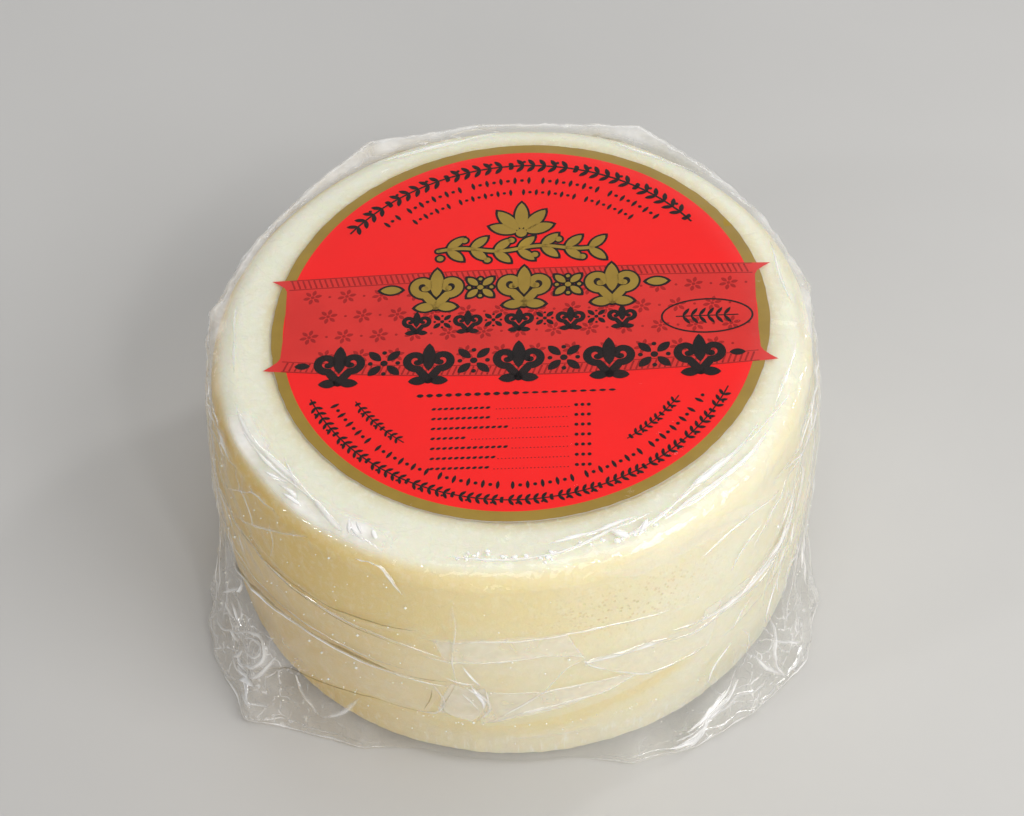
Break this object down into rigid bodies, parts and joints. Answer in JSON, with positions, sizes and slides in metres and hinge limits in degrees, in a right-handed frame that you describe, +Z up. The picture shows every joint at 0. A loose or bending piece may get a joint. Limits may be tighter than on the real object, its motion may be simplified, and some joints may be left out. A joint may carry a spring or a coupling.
{
  "type": "semi-cured cheese wheel",
  "caption": "Whole small wheel of semi-cured goat cheese, shrink-wrapped in clear film with loose corners, with a large round label on its sloping top.",
  "frame": {"origin": "on the surface it stands on, on the wheel's own axis, at the middle of its underside", "axes": "+Z up, square to the flat underside; the top face climbs towards +X; -Y is the front, with the two larger loose corners of film at front left and front right"},
  "size_m": [0.1407, 0.1356, 0.0727],
  "materials": {
    "cheese": "semi-matte waxy paste, pale ivory, slightly translucent",
    "label_paper": "printed paper with a red field and a gold edge",
    "clear_film": "clear glossy heat-shrunk film"
  },
  "bodies": {
    "root": {"cheese_wheel": "cheese", "label": "label_paper", "film_bag": "clear_film"}
  },
  "joints": []
}
